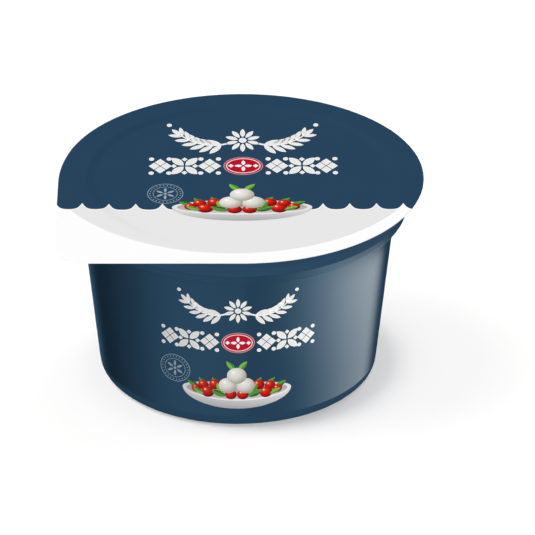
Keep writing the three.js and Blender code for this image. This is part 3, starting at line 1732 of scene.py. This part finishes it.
@dataclass
class FlowerFrieze:
    """A bold border band of flowers and diamonds, with a gap in its middle for the badge."""

    spots: tuple[float, float, float] = (9.0, 15.7, 22.2)
    diamond_reach: float = 1.62
    diamond: float = 1.45
    dot_x: float = 2.35
    dot_y: float = 3.0
    dot: float = 0.7
    petal_gap: float = 0.35
    petal_size: Pair = (4.5, 3.0)
    point_reach: float = 2.85
    point: float = 0.8

    def draw(self) -> Drawing:
        """Draws the band.

        Returns:
            The drawing.
        """
        art = Drawing("frieze")
        for side in (1, -1):
            near, middle, far = (side * spot for spot in self.spots)
            self.diamonds(art, near)
            self.flower(art, middle)
            self.diamonds(art, far)
        return art

    def diamonds(self, art: Drawing, x: float) -> None:
        """Draws four small diamonds that make up a large one, with a dot over and under its sides.

        Args:
            art: The drawing.
            x: Where their middle is across.
        """
        for corner in range(4):
            place = Vector((x, 0, 0)) + polar(self.diamond_reach, 90 * corner)
            art.lozenge(place.x, place.y, self.diamond, Ink.WHITE)
        for across in (1, -1):
            for up in (1, -1):
                art.disc(x + across * self.dot_x, up * self.dot_y, self.dot, self.dot, Ink.WHITE)

    def flower(self, art: Drawing, x: float) -> None:
        """Draws four broad petals set crosswise, with four points between them.

        Args:
            art: The drawing.
            x: Where the flower's middle is across.
        """
        for petal in range(4):
            turn = 90 * petal + 45
            foot = Vector((x, 0, 0)) + polar(self.petal_gap, turn + 90)
            art.leaf(foot.x, foot.y, *self.petal_size, turn, Ink.WHITE)
            tip = Vector((x, 0, 0)) + polar(self.point_reach, 90 * petal)
            art.lozenge(tip.x, tip.y, self.point, Ink.WHITE)


BowlLeaf = tuple[float, float, float, float, float, Ink, int]


@dataclass
class FruitBowl:
    """A wide white bowl of round tomatoes and leaves, with three small balls of cheese in its middle.

    What it holds is listed for its right half, from the back to the front: each leaf's foot, length,
    width, turn, ink and layer, and each tomato's middle, radius and layer.
    """

    half_width: float = 17.6
    foot: float = -5.5
    rim_y: float = 1.3
    rim_tall: float = 3.7
    rim_width: float = 1.3
    well_y: float = 1.2
    well_tall: float = 3.0
    back_leaves: tuple[BowlLeaf, ...] = (
        (5.6, 2.6, 4.4, 2.6, -30, Ink.LEAF_DARK, 3),
        (9.2, 2.6, 4.4, 2.6, -42, Ink.LEAF_DARK, 3),
        (12.0, 2.0, 4.4, 2.6, -62, Ink.LEAF_DARK, 3),
    )
    tomatoes: tuple[tuple[float, float, float, int], ...] = (
        (6.9, 3.6, 1.9, 4),
        (10.6, 3.1, 1.75, 4),
        (1.9, 0.0, 1.9, 5),
        (13.0, 1.5, 1.55, 5),
        (9.3, 0.6, 2.1, 6),
    )
    front_leaves: tuple[BowlLeaf, ...] = (
        (3.4, -0.7, 5.0, 2.9, -66, Ink.LEAF_DARK, 7),
        (4.6, 0.6, 4.0, 2.5, -24, Ink.LEAF, 7),
        (10.6, -0.2, 3.8, 2.1, -64, Ink.LEAF, 7),
    )
    low_ball: tuple[float, float, float] = (2.8, 3.5, 2.95)
    top_ball: tuple[float, float, float] = (0, 7.3, 3.1)
    top_leaf: tuple[float, float, float, float, float] = (-0.4, 9.2, 4.6, 2.5, 38)

    def draw(self) -> Drawing:
        """Draws the bowl and what it holds.

        Returns:
            The drawing.
        """
        art = Drawing("bowl")
        art.half_disc(0, self.rim_y, self.half_width, self.rim_y - self.foot, Ink.BOWL, 0)
        art.disc(0, self.rim_y, self.half_width, self.rim_tall, Ink.BOWL_RIM, 1)
        art.disc(0, self.well_y, self.half_width - self.rim_width, self.well_tall, Ink.BOWL_WELL, 2)
        for side in (1, -1):
            self.leaves(art, side, self.back_leaves)
            for x, y, size, layer in self.tomatoes:
                art.disc(side * x, y, size, size, Ink.TOMATO, layer)
            self.leaves(art, side, self.front_leaves)
        self.balls(art)
        return art

    def leaves(self, art: Drawing, side: int, row: Sequence[BowlLeaf]) -> None:
        """Draws a row of leaves on one side.

        Args:
            art: The drawing.
            side: The side: 1 for the right, -1 for the left.
            row: The leaves, as they lie on the right.
        """
        for x, y, length, width, turn, ink, layer in row:
            art.leaf(side * x, y, length, width, side * turn, ink, layer)

    def balls(self, art: Drawing) -> None:
        """Draws the cheese: two balls side by side, one on top, and two leaves over it.

        Args:
            art: The drawing.
        """
        x, y, length, width, turn = self.top_leaf
        for side in (1, -1):
            art.leaf(side * x, y, length, width, side * turn, Ink.LEAF, 7)
        x, y, size = self.low_ball
        for side in (1, -1):
            art.disc(side * x, y, size, size, Ink.CHEESE, 8)
        x, y, size = self.top_ball
        art.disc(x, y, size, size, Ink.CHEESE, 9)


@dataclass
class RingFlower:
    """A fine-lined double ring of beads round a small outlined flower."""

    outer: float = 5.2
    outer_line: float = 0.2
    inner: float = 3.6
    inner_line: float = 0.16
    beads: int = 26
    bead: float = 0.2
    petals: int = 6
    petal_gap: float = 0.7
    petal_size: Pair = (2.3, 1.15)
    heart: float = 0.5

    def draw(self) -> Drawing:
        """Draws the rings, the beads and the flower.

        Returns:
            The drawing.
        """
        art = Drawing("ring_flower")
        art.ring(0, 0, (self.outer, self.outer), self.outer_line, Ink.LINE)
        art.ring(0, 0, (self.inner, self.inner), self.inner_line, Ink.LINE)
        for bead in range(self.beads):
            place = polar((self.outer + self.inner) / 2, 360 * bead / self.beads)
            art.disc(place.x, place.y, self.bead, self.bead, Ink.LINE)
        art.petals(0, 0, self.petals, self.petal_gap, self.petal_size, Ink.LINE)
        art.disc(0, 0, self.heart, self.heart, Ink.LINE)
        return art


@dataclass
class Print:
    """All the print: the same five drawings on the lid and on the wall."""

    lid: FoilLid
    label: TubLabel
    rim: float = 0.16

    def build(self) -> None:
        """Draws every drawing for each carrier, and lays it."""
        shelf = InkShelf()
        on_lid = {
            LeafyGarland: Placement(0.2, 26.4, 1.26, 1.75),
            FlowerFrieze: Placement(0.4, 7.4, 1.2, 1.62),
            OvalBadge: Placement(0.4, 7.4, 1.2, 1.6),
            FruitBowl: Placement(0.0, -22.6, 1.26, 1.34),
            RingFlower: Placement(-24.4, -11.6, 1.1, 1.3),
        }
        on_wall = {
            LeafyGarland: Placement(0.0, 45.4),
            FlowerFrieze: Placement(0.0, 32.6),
            OvalBadge: Placement(0.0, 32.6),
            FruitBowl: Placement(-0.4, 12.7),
            RingFlower: Placement(-20.6, 20.4),
        }
        for prefix, slot, carrier, places in (
            ("lid", "lid_foil", PanCarrier(self.lid), on_lid),
            ("tub", "tub_plastic", WallCarrier(self.label), on_wall),
        ):
            for motif, placement in places.items():
                art = motif().draw()
                art.rimmed(self.rim, Ink.WHITE, Ink.BRIGHT, shelf)
                art.lay(carrier, placement, prefix, slot, shelf)


# ---- Studio: floor, lights, surroundings and camera ----


class Group(Enum):
    """What a lamp shines on, or what may stand in its way."""

    LABEL = "label_pieces"
    SHELL = "shell_pieces"
    LID = "lid_pieces"
    FLOOR = "floor_only"
    FOOT = "tub_foot_only"


def collect(group: Group, pieces: Sequence[Piece]) -> bpy.types.Collection:
    """Gathers pieces that a lamp is tied to.

    Args:
        group: What the pieces are to the lamps.
        pieces: The pieces.

    Returns:
        Their collection.
    """
    collection = bpy.data.collections.new(group.value)
    for piece in pieces:
        collection.objects.link(piece)
    return collection


def hide_from(piece: Piece, *rays: str) -> None:
    """Hides a piece of the studio from these kinds of ray."""
    for ray in rays:
        setattr(piece, f"visible_{ray}", False)


@dataclass(frozen=True)
class Lamp:
    """A soft, even lamp far away.

    Heading and height are the lamp's direction from the object: heading 0 is +X and -90 the front.
    Level is how bright a white card that faces it gets. Width is how wide the lamp looks, in degrees.
    """

    name: str
    heading: float
    height: float
    level: float
    width: float
    lit: Group
    blocked_by: Group

    def hang(self, groups: dict[Group, bpy.types.Collection]) -> None:
        """Hangs the lamp and ties it to what it lights and what blocks it.

        Args:
            groups: Each group's pieces.
        """
        bpy.ops.object.light_add(type="SUN")
        lamp = bpy.context.object
        lamp.name = self.name
        up = math.radians(self.height)
        way = polar(math.cos(up), self.heading) + Vector((0, 0, math.sin(up)))
        lamp.rotation_euler = way.to_track_quat("Z", "Y").to_euler()
        lamp.data.energy = self.level * math.pi
        lamp.data.angle = math.radians(self.width)
        lamp.visible_glossy = False
        lamp.light_linking.receiver_collection = groups[self.lit]
        lamp.light_linking.blocker_collection = groups[self.blocked_by]


@dataclass
class Surroundings:
    """What surrounds the set: white to the eye, a soft dome to matt surfaces, dim boxes to shiny ones.

    The boxes' brightness is listed by heading. They are seen only where the view slopes down, between
    the upper and the lower slope, which are the Z of its direction.
    """

    eye_white: float = 1.03
    sky: float = 0.19
    bounce: float = 0.46
    horizon_blur: float = 0.06
    blue: tuple[float, float, float] = (0.36, 1.0, 1.7)
    full: float = 0.5
    upper_slope: Pair = (-0.32, -0.12)
    lower_slope: Pair = (-0.93, -0.84)
    round_set: Pair = (-180, 180)
    boxes: Stops = (
        (-180, 0.13), (-172, 0.2), (-155, 0.38), (-140, 0.44), (-120, 0.4), (-90, 0.23),
        (-60, 0.15), (-40, 0.1), (0, 0.04), (60, 0.02), (88, 0.03), (98, 0.12),
        (111, 0.13), (120, 0.06), (128, 0.01), (146, 0.03), (180, 0.13),
    )

    def build(self) -> None:
        """Builds the world's shader."""
        world = bpy.data.worlds.new("studio")
        bpy.context.scene.world = world
        world.use_nodes = True
        world.cycles.sampling_method = "NONE"
        bench = NodeBench(world.node_tree)
        _, x, y, z = bench.place("Generated")
        above_ground = bench.smooth_step(z, -self.horizon_blur, self.horizon_blur)
        dome = bench.mix(above_ground, self.grey(self.bounce), self.grey(self.sky))
        by_heading = bench.curve(bench.heading(x, y), self.boxes, self.round_set, self.full)
        level = bench.calc("MULTIPLY", by_heading, self.low_band(bench, z))
        boxes = bench.mix(level, self.grey(0), tuple(self.full * part for part in self.blue) + (1.0,))
        rays = bench.nodes.new("ShaderNodeLightPath")
        seen = bench.mix(rays.outputs["Is Glossy Ray"], dome, boxes)
        seen = bench.mix(rays.outputs["Is Camera Ray"], seen, self.grey(self.eye_white))
        bench.feed(bench.nodes["Background"].inputs["Color"], seen)

    def grey(self, level: float) -> Colour:
        """A neutral colour of that brightness."""
        return (level, level, level, 1.0)

    def low_band(self, bench: NodeBench, z: Value) -> Socket:
        """Is 1 below eye level, and 0 over it and straight below."""
        lower = bench.calc("SUBTRACT", 1.0, bench.smooth_step(z, *self.upper_slope))
        return bench.calc("MULTIPLY", lower, bench.smooth_step(z, *self.lower_slope))


@dataclass
class GlossCard:
    """A bent card of light low beside the tub, which only shiny surfaces see.

    Its glow is listed by heading in three rows: the foot, the brighter head over it, and the dimmer brow
    at its top, which fades out along a slanted upper edge. A slant is how far an edge falls with each
    degree of heading.
    """

    radius: float = 120.0
    low: float = -78.0
    high: float = 24.0
    first: float = -84.0
    last: float = 50.0
    sides: int = 144
    cool: Colour = (0.66, 1.0, 1.14, 1.0)
    warm: Colour = (0.91, 1.0, 1.0, 1.0)
    warming: Pair = (-55, -5)
    full: float = 3.0
    span: Pair = (-90, 60)
    brow: Stops = (
        (-76, 0.0), (-62, 0.32), (-50, 1.0), (-42, 1.46), (-34, 1.68), (-25, 1.66),
        (-17, 1.29), (-8, 0.9), (0, 0.7), (6, 0.42), (12, 0.1), (16, 0.0),
    )
    head: Stops = (
        (-76, 0.0), (-62, 0.28), (-50, 1.0), (-42, 1.55), (-34, 2.02), (-25, 2.55), (-17, 2.9), (-8, 2.92),
        (0, 2.65), (9, 2.38), (18, 1.84), (25, 1.08), (29, 0.64), (34, 0.12), (39, 0.0),
    )
    foot: Stops = (
        (-62, 0.0), (-49, 0.16), (-41, 0.46), (-32, 0.95), (-24, 1.16), (-15, 1.38), (-7, 1.6),
        (2, 1.55), (11, 1.42), (20, 1.3), (29, 0.65), (36, 0.14), (42, 0.0),
    )
    foot_z: float = -55.0
    head_z: float = -13.0
    brow_from: float = -11.6
    brow_to: float = -4.0
    brow_slant: float = 0.08
    fade: Stops = ((6.0, 1.0), (9.0, 0.0))
    fade_span: Pair = (-40, 40)
    fade_slant: float = 0.3

    def build(self, axis_x: float) -> None:
        """Bends the card round the tub's axis, from a tube whose other side is taken away.

        Args:
            axis_x: Where the tub's axis stands along X, in metres.
        """
        bpy.ops.mesh.primitive_cylinder_add(
            vertices=self.sides,
            radius=self.radius * MM,
            depth=(self.high - self.low) * MM,
            end_fill_type="NOTHING",
            location=(axis_x, 0, (self.low + self.high) / 2 * MM),
        )
        card = new_piece("gloss_card")
        with editing(card, "FACE"):
            pick_faces(card, lambda face: not self.kept(face.calc_center_median(), axis_x))
            bpy.ops.mesh.delete(type="FACE")
        card.data.materials.append(self.light(axis_x))
        hide_from(card, "camera", "diffuse", "transmission", "volume_scatter", "shadow")
        card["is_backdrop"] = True

    def kept(self, place: Vector, axis_x: float) -> bool:
        """Whether a part of the tube belongs to the card."""
        heading = math.degrees(math.atan2(place.y, place.x - axis_x))
        return self.first < heading < self.last

    def light(self, axis_x: float) -> Material:
        """Builds the card's glow.

        Args:
            axis_x: Where the tub's axis stands along X, in metres.

        Returns:
            The material.
        """
        recipe = Recipe("gloss_card")
        _, x, y, z = recipe.place()
        heading = recipe.heading(recipe.calc("SUBTRACT", x, axis_x), y)
        height = recipe.calc("DIVIDE", z, MM)
        foot, head, brow = (
            recipe.curve(heading, row, self.span, self.full) for row in (self.foot, self.head, self.brow)
        )
        reach = self.head_z - self.foot_z
        rise = recipe.calc("MULTIPLY_ADD", height, 1 / reach, -self.foot_z / reach)
        slanted = recipe.calc("MULTIPLY_ADD", heading, self.brow_slant, height)
        over_head = recipe.smooth_step(slanted, self.brow_from, self.brow_to)
        level = recipe.mix(over_head, recipe.mix(rise, foot, head), brow)
        upper = recipe.calc("MULTIPLY_ADD", heading, self.fade_slant, height)
        glow = recipe.mix(recipe.curve(upper, self.fade, self.fade_span, 1.0), BLACK, level)
        tint = recipe.mix(recipe.smooth_step(heading, *self.warming), self.cool, self.warm)
        return recipe.set(
            Base_Color=BLACK,
            Specular_IOR_Level=0.0,
            Emission_Color=recipe.mix(1.0, glow, tint, "MULTIPLY"),
            Emission_Strength=self.full,
        )


@dataclass
class Camera:
    """A long lens that looks down on the tub from the front.

    Its distance and the place that it aims at are in metres.
    """

    distance: float = 1.7
    pitch: float = 28.97
    focal_length: float = 353.94
    sensor: float = 36
    aim_height: float = 0.025
    aim_right: float = 0.00953
    aim_up: float = 0.00738
    roll: float = 0.16

    def build(self, axis_x: float) -> None:
        """Places the camera and makes it the scene's.

        Args:
            axis_x: Where the tub's axis stands along X, in metres.
        """
        tilt = math.radians(self.pitch)
        ahead = Vector((0, math.cos(tilt), -math.sin(tilt)))
        upward = Vector((0, math.sin(tilt), math.cos(tilt)))
        target = Vector((axis_x, 0, self.aim_height))
        place = target - ahead * self.distance
        aim = target + Vector((self.aim_right, 0, 0)) + upward * self.aim_up
        bpy.ops.object.camera_add(location=place)
        camera = bpy.context.object
        camera.name = "camera"
        level = (aim - place).to_track_quat("-Z", "Y")
        camera.rotation_euler = (level @ Quaternion((0, 0, 1), math.radians(self.roll))).to_euler()
        camera.data.lens = self.focal_length
        camera.data.sensor_width = self.sensor
        bpy.context.scene.camera = camera


@dataclass
class Studio:
    """The plain white floor, whose size is in metres, and the soft light."""

    floor_size: float = 8.0
    floor_white: Colour = (0.912, 0.9, 0.893, 1.0)
    lamps: tuple[Lamp, ...] = (
        Lamp("lid_lamp", 130, 44, 1.28, 30, Group.LID, Group.LID),
        Lamp("lid_front", -110, 3, 0.6, 10, Group.LID, Group.FLOOR),
        Lamp("label_key", -60, 7, 0.75, 14, Group.LABEL, Group.LID),
        Lamp("label_fill", 25, 7, 0.6, 20, Group.LABEL, Group.FLOOR),
        Lamp("label_rim", 118, 8, 0.6, 14, Group.LABEL, Group.FLOOR),
        Lamp("shell_soft", -75, 32, 0.8, 180, Group.SHELL, Group.FLOOR),
        Lamp("floor_above", -90, 89, 0.44, 17, Group.FLOOR, Group.FLOOR),
        Lamp("floor_left", 177, 52, 0.52, 40, Group.FLOOR, Group.FOOT),
        Lamp("floor_long", 180, 34, 0.08, 20, Group.FLOOR, Group.FOOT),
        Lamp("floor_right", 44, 55, 0.2, 38, Group.FLOOR, Group.FOOT),
    )

    def build(self, axis_x: float) -> None:
        """Lays the floor, hangs the lamps and sets up what surrounds them.

        Args:
            axis_x: Where the tub's axis stands along X, in metres.
        """
        floor = self.lay_floor()
        tub = [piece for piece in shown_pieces() if piece.name.startswith("tub_")]
        shell = [piece for piece in tub if piece.name in ("tub_foot", "tub_shell")]
        tied = {
            Group.LABEL: [piece for piece in tub if piece not in shell],
            Group.SHELL: shell,
            Group.LID: [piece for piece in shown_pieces() if piece.name.startswith(("lid_", "foil_"))],
            Group.FLOOR: [floor],
            Group.FOOT: [piece for piece in shell if piece.name == "tub_foot"],
        }
        groups = {group: collect(group, pieces) for group, pieces in tied.items()}
        for lamp in self.lamps:
            lamp.hang(groups)
        GlossCard().build(axis_x)
        Surroundings().build()
        log.info("studio: %d lamps", len(self.lamps))

    def lay_floor(self) -> Piece:
        """Lays a large sheet of white paper.

        Returns:
            The floor.
        """
        bpy.ops.mesh.primitive_plane_add(size=self.floor_size)
        floor = new_piece("floor")
        paper = Recipe("floor_paper")
        paper.set(Base_Color=self.floor_white, Roughness=1.0, Specular_IOR_Level=0.0)
        floor.data.materials.append(paper.material)
        hide_from(floor, "glossy", "diffuse", "shadow")
        floor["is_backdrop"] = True
        return floor


def set_view() -> None:
    """Shows colours as they are, and clears the picture of grain."""
    scene = bpy.context.scene
    scene.view_settings.view_transform = "Standard"
    scene.cycles.use_denoising = True


def main() -> None:
    """Builds the tub, the lid, the print and the studio, in that order."""
    tub = TubShell()
    tub.build()
    label = TubLabel(tub)
    label.build()
    lid = FoilLid()
    lid.build()
    Print(lid, label).build()
    Studio().build(tub.axis_x)
    Camera().build(tub.axis_x)
    set_view()


if __name__ == "__main__":
    main()
